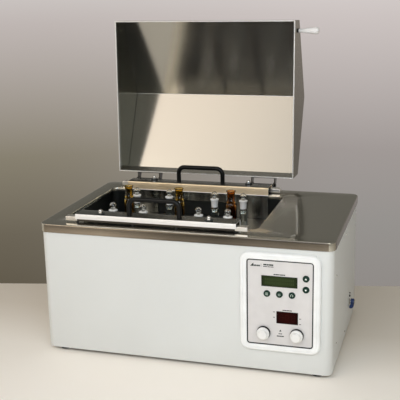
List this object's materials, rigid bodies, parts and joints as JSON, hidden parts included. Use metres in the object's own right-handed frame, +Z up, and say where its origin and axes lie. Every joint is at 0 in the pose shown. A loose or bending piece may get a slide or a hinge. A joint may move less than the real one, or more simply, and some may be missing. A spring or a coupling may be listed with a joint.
{
  "type": "water bath",
  "caption": "Bench-top laboratory water bath with painted housing, steel tank, hinged gable lid, front control panel and a lift-out rack that carries stoppered glass tubes.",
  "frame": {"origin": "bottom centre of the whole object's box, with the lid open, level with the underside of the feet", "axes": "+Z up, the control panel faces -Y, +X is to the right of someone who faces the panel"},
  "size_m": [0.61, 0.5402, 0.6572],
  "materials": {
    "white_painted_steel": "semi-gloss powder coat",
    "brushed_stainless": "satin brushed stainless sheet",
    "bright_stainless": "smooth stainless sheet",
    "black_nylon": "smooth glossy black",
    "black_rubber": "matt",
    "white_moulding": "smooth moulded white",
    "grey_overlay": "matt light grey",
    "green_window": "dark olive display window",
    "red_window": "dark red display window",
    "green_key": "matt dark green key cap",
    "white_plastic": "smooth white",
    "circuit_board": "green laminate",
    "glass_wool": "pressed glass wool",
    "orange_silicone": "silicone mat",
    "plated_brass": "nickel-plated brass",
    "blue_plastic": "smooth dark blue",
    "clear_glass": "clear borosilicate",
    "ground_glass": "ground joint, clear ball",
    "amber_glass": "dark amber"
  },
  "bodies": {
    "cabinet": {"housing": "white_painted_steel", "base_plate": "brushed_stainless", "top_deck": "brushed_stainless", "hinge_pin_left": "brushed_stainless", "hinge_pin_right": "brushed_stainless", "tank": "bright_stainless", "temperature_probe": "bright_stainless", "drain_pipe": "bright_stainless", "hinge_base_left": "bright_stainless", "hinge_base_right": "bright_stainless", "mains_inlet": "black_nylon", "foot_front_left": "black_rubber", "foot_front_right": "black_rubber", "foot_rear_left": "black_rubber", "foot_rear_right": "black_rubber", "control_bezel": "white_moulding", "panel_plate": "grey_overlay", "lcd_window": "green_window", "led_window": "red_window", "control_board": "circuit_board", "insulation_jacket": "glass_wool", "heating_mat": "orange_silicone", "drain_valve": "plated_brass"},
    "lid": {"lid_shell": "brushed_stainless", "lid_knob": "white_plastic", "lid_bracket_left": "bright_stainless", "lid_bracket_right": "bright_stainless"},
    "rack": {"rack_trough": "brushed_stainless", "tube_plate": "brushed_stainless", "rack_rail_front": "brushed_stainless", "rack_rail_rear": "brushed_stainless", "rack_handle_front": "black_nylon", "rack_handle_rear": "black_nylon"},
    "vessel_front_1": {"tube_front_1": "clear_glass", "stopper_front_1": "ground_glass"},
    "vessel_front_2": {"tube_front_2": "clear_glass", "stopper_front_2": "ground_glass"},
    "vessel_front_3": {"tube_front_3": "clear_glass", "stopper_front_3": "ground_glass"},
    "vessel_front_4": {"tube_front_4": "clear_glass", "stopper_front_4": "ground_glass"},
    "vessel_rear_1": {"tube_rear_1": "clear_glass", "stopper_rear_1": "ground_glass"},
    "vessel_rear_2": {"tube_rear_2": "clear_glass", "stopper_rear_2": "ground_glass"},
    "vessel_rear_3": {"tube_rear_3": "clear_glass", "stopper_rear_3": "ground_glass"},
    "vessel_rear_4": {"tube_rear_4": "clear_glass", "stopper_rear_4": "ground_glass"},
    "amber_1": {"amber_tube_1": "amber_glass"},
    "amber_2": {"amber_tube_2": "amber_glass"},
    "amber_3": {"amber_tube_3": "amber_glass"},
    "menu_button_cap": {"menu_button": "green_key"},
    "select_button_cap": {"select_button": "green_key"},
    "start_button_cap": {"start_button": "green_key"},
    "up_button_cap": {"up_button": "green_key"},
    "down_button_cap": {"down_button": "green_key"},
    "left_knob_body": {"left_knob": "white_plastic"},
    "right_knob_body": {"right_knob": "white_plastic"},
    "drain_lever_body": {"drain_lever": "blue_plastic"}
  },
  "joints": [
    {"name": "lid_hinge", "type": "hinge", "parent": "cabinet", "child": "lid", "pos_m": [-0.065, 0.13647, 0.284], "axis": [-1, 0, 0], "range_deg": [-92, 0]},
    {"name": "rack_lift", "type": "slide", "parent": "cabinet", "child": "rack", "axis": [0, 0, 1], "range_m": [0, 0.26]},
    {"name": "front_1_tube_lift", "type": "slide", "parent": "rack", "child": "vessel_front_1", "axis": [0, 0, 1], "range_m": [0, 0.165]},
    {"name": "front_2_tube_lift", "type": "slide", "parent": "rack", "child": "vessel_front_2", "axis": [0, 0, 1], "range_m": [0, 0.165]},
    {"name": "front_3_tube_lift", "type": "slide", "parent": "rack", "child": "vessel_front_3", "axis": [0, 0, 1], "range_m": [0, 0.165]},
    {"name": "front_4_tube_lift", "type": "slide", "parent": "rack", "child": "vessel_front_4", "axis": [0, 0, 1], "range_m": [0, 0.165]},
    {"name": "rear_1_tube_lift", "type": "slide", "parent": "rack", "child": "vessel_rear_1", "axis": [0, 0, 1], "range_m": [0, 0.165]},
    {"name": "rear_2_tube_lift", "type": "slide", "parent": "rack", "child": "vessel_rear_2", "axis": [0, 0, 1], "range_m": [0, 0.165]},
    {"name": "rear_3_tube_lift", "type": "slide", "parent": "rack", "child": "vessel_rear_3", "axis": [0, 0, 1], "range_m": [0, 0.165]},
    {"name": "rear_4_tube_lift", "type": "slide", "parent": "rack", "child": "vessel_rear_4", "axis": [0, 0, 1], "range_m": [0, 0.165]},
    {"name": "amber_1_lift", "type": "slide", "parent": "rack", "child": "amber_1", "axis": [0, 0, 1], "range_m": [0, 0.165]},
    {"name": "amber_2_lift", "type": "slide", "parent": "rack", "child": "amber_2", "axis": [0, 0, 1], "range_m": [0, 0.165]},
    {"name": "amber_3_lift", "type": "slide", "parent": "rack", "child": "amber_3", "axis": [0, 0, 1], "range_m": [0, 0.165]},
    {"name": "menu_button_press", "type": "slide", "parent": "cabinet", "child": "menu_button_cap", "axis": [0, 1, 0], "range_m": [0, 0.0012], "stiffness_N_per_m": 500, "springref_m": -0.001},
    {"name": "select_button_press", "type": "slide", "parent": "cabinet", "child": "select_button_cap", "axis": [0, 1, 0], "range_m": [0, 0.0012], "stiffness_N_per_m": 500, "springref_m": -0.001},
    {"name": "start_button_press", "type": "slide", "parent": "cabinet", "child": "start_button_cap", "axis": [0, 1, 0], "range_m": [0, 0.0012], "stiffness_N_per_m": 500, "springref_m": -0.001},
    {"name": "up_button_press", "type": "slide", "parent": "cabinet", "child": "up_button_cap", "axis": [0, 1, 0], "range_m": [0, 0.0012], "stiffness_N_per_m": 500, "springref_m": -0.001},
    {"name": "down_button_press", "type": "slide", "parent": "cabinet", "child": "down_button_cap", "axis": [0, 1, 0], "range_m": [0, 0.0012], "stiffness_N_per_m": 500, "springref_m": -0.001},
    {"name": "left_knob_turn", "type": "hinge", "parent": "cabinet", "child": "left_knob_body", "pos_m": [0.1616, -0.25413, 0.0898], "axis": [0, -1, 0], "range_deg": [-150, 150]},
    {"name": "right_knob_turn", "type": "hinge", "parent": "cabinet", "child": "right_knob_body", "pos_m": [0.226, -0.25413, 0.0898], "axis": [0, -1, 0], "range_deg": [-150, 150]},
    {"name": "drain_lever_turn", "type": "hinge", "parent": "cabinet", "child": "drain_lever_body", "pos_m": [0.2925, 0.01107, 0.064], "axis": [1, 0, 0], "range_deg": [0, 90]}
  ]
}
